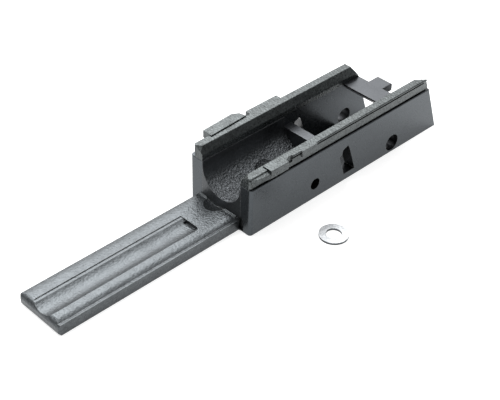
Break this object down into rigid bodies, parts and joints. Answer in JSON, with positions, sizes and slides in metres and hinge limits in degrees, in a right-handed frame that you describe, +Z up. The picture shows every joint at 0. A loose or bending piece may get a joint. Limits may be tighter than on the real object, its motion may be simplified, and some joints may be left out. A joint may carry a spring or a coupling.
{
  "type": "slide guide chassis",
  "caption": "Short channel chassis with slide rails along both walls, cross holes, a rear cross plate and a long flat tongue, with a loose flat washer.",
  "frame": {"origin": "on the flat underside, on the body's centreline, below the body's front face", "axes": "+X along the body to its rear, away from the tongue; +Y to the right side; +Z up, from the underside to the rails"},
  "size_m": [0.1177, 0.0377, 0.0165],
  "materials": {
    "wall_steel": "satin dark grey phosphate coating, smooth machined sides",
    "rail_steel": "satin dark grey coating with a fine mottle",
    "cast_trough": "dark grey coating over a grainy cast surface",
    "cast_tongue": "satin dark grey coating over a grainy cast surface",
    "cross_members": "smooth satin dark grey coating",
    "plated_washer": "bright nickel or zinc plating, lightly brushed"
  },
  "bodies": {
    "chassis": {"left_wall": "wall_steel", "right_wall": "wall_steel", "trough_cradle": "cast_trough", "left_rail": "rail_steel", "right_rail": "rail_steel", "left_guide_pad": "rail_steel", "right_guide_pad": "rail_steel", "end_web": "cross_members", "well_floor": "cross_members", "bridge_plate": "cross_members", "tongue_plate": "cast_tongue"},
    "washer": {"washer": "plated_washer"}
  },
  "joints": [
    {"name": "washer_lift", "type": "slide", "parent": "chassis", "child": "washer", "axis": [0, 0, 1], "range_m": [0, 0.03]}
  ]
}
